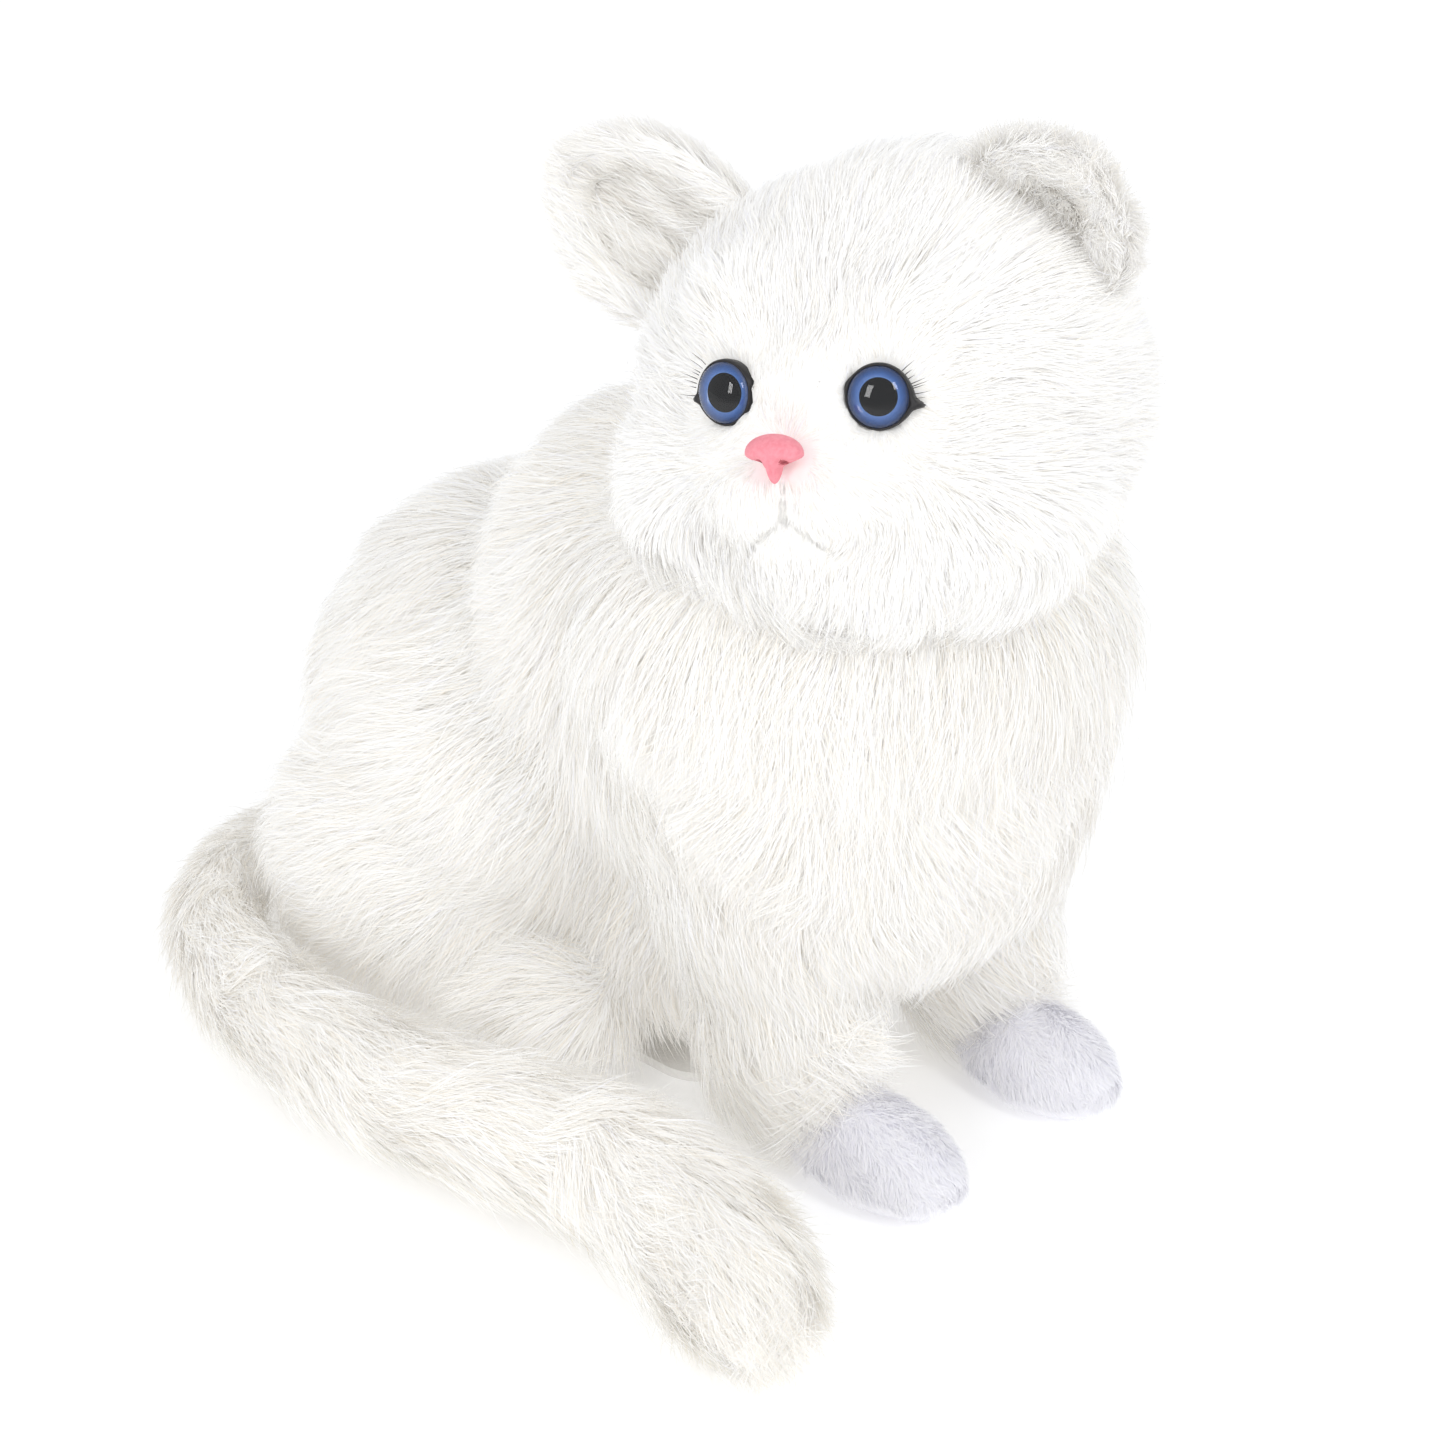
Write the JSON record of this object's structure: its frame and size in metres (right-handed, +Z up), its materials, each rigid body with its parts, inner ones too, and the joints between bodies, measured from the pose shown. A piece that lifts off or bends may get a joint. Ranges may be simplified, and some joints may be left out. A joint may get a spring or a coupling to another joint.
{
  "type": "interactive plush pet",
  "caption": "Sitting white long-haired plush cat with domed blue eyes, a turning head, a sweeping tail, touch plungers and a purr motor over a battery base.",
  "frame": {"origin": "on the flat underside of the base plate, on the surface that the cat sits on, between the power switch and the battery door", "axes": "+Z up; the body faces -Y, so the cat's left side is +X and its right side, round which the tail lies, is -X"},
  "size_m": [0.208, 0.2625, 0.2569],
  "materials": {
    "fur": "matte",
    "felt": "matte",
    "ear_lining": "matte",
    "nose": "matte",
    "eyelid": "gloss",
    "iris": "gloss",
    "pupil": "gloss",
    "lens": "gloss",
    "casing": "matte",
    "gears": "satin",
    "steel": "satin",
    "board": "satin",
    "black_plastic": "matte",
    "cell": "satin"
  },
  "bodies": {
    "body": {"torso_plush": "fur", "haunch_left": "fur", "haunch_right": "fur", "front_leg_left": "fur", "front_leg_right": "fur", "front_paw_left": "felt", "front_paw_right": "felt", "base_plate": "casing", "battery_box": "casing", "battery_1": "cell", "battery_2": "cell", "battery_3": "cell", "battery_spring_1": "steel", "battery_spring_2": "steel", "battery_spring_3": "steel", "switch_body": "black_plastic", "housing_left": "casing", "housing_right": "casing", "housing_screw_1": "steel", "housing_screw_2": "steel", "main_pcb": "board", "speaker": "black_plastic", "purr_motor": "steel", "neck_deck": "casing", "neck_bearing": "gears", "head_motor": "steel", "tail_post": "steel", "tail_bracket": "casing", "tail_motor": "steel", "back_button_spring": "steel"},
    "head": {"neck_shaft": "casing", "neck_gear": "gears", "skull_front": "casing", "skull_rear": "casing", "head_plush": "fur", "head_button_spring": "steel", "ear_left": "fur", "ear_right": "fur", "ear_lining_left": "ear_lining", "ear_lining_right": "ear_lining", "eye_rim_left": "eyelid", "eye_rim_right": "eyelid", "eye_iris_left": "iris", "eye_iris_right": "iris", "eye_pupil_left": "pupil", "eye_pupil_right": "pupil", "eye_lens_left": "lens", "eye_lens_right": "lens", "nose": "nose"},
    "tail": {"tail_plush": "fur", "tail_core": "gears", "tail_gear": "gears"},
    "head_pinion": {"head_pinion": "gears"},
    "tail_pinion": {"tail_pinion": "gears"},
    "purr_weight": {"purr_weight": "steel"},
    "head_button": {"head_button": "casing"},
    "back_button": {"back_button": "casing"},
    "power_switch": {"power_switch": "black_plastic"},
    "battery_door": {"battery_door": "casing", "door_screw": "steel"}
  },
  "joints": [
    {"name": "head_turn", "type": "hinge", "parent": "body", "child": "head", "pos_m": [0, -0.06, 0.112], "axis": [0, 0, 1], "range_deg": [-25, 25]},
    {"name": "tail_sweep", "type": "hinge", "parent": "body", "child": "tail", "pos_m": [0, 0.09, 0.016], "axis": [0, 0, 1], "range_deg": [-20, 4]},
    {"name": "head_pinion_spin", "type": "hinge", "parent": "body", "child": "head_pinion", "pos_m": [0, -0.036, 0.112], "axis": [0, 0, 1], "range_deg": [-76, 76]},
    {"name": "tail_pinion_spin", "type": "hinge", "parent": "body", "child": "tail_pinion", "pos_m": [0, 0.073, 0.029], "axis": [0, 0, 1], "range_deg": [-10, 49]},
    {"name": "purr_spin", "type": "hinge", "parent": "body", "child": "purr_weight", "pos_m": [0.0105, 0.002, 0.05], "axis": [1, 0, 0], "continuous": true},
    {"name": "head_press", "type": "slide", "parent": "head", "child": "head_button", "axis": [-0.2193, -0.2444, -0.9445], "range_m": [0, 0.0018], "stiffness_N_per_m": 400, "springref_m": -0.0005, "deforming": ["head_button_spring"]},
    {"name": "back_press", "type": "slide", "parent": "body", "child": "back_button", "axis": [0, 0, -1], "range_m": [0, 0.003], "stiffness_N_per_m": 400, "springref_m": -0.0005, "deforming": ["back_button_spring"]},
    {"name": "power_slide", "type": "slide", "parent": "body", "child": "power_switch", "axis": [1, 0, 0], "range_m": [0, 0.004]},
    {"name": "door_remove", "type": "slide", "parent": "body", "child": "battery_door", "axis": [0, 0, -1], "range_m": [0, 0.02]}
  ],
  "couplings": [
    {"joint": "head_pinion_spin", "follows": "head_turn", "ratio": -3},
    {"joint": "tail_pinion_spin", "follows": "tail_sweep", "ratio": -2.4}
  ]
}
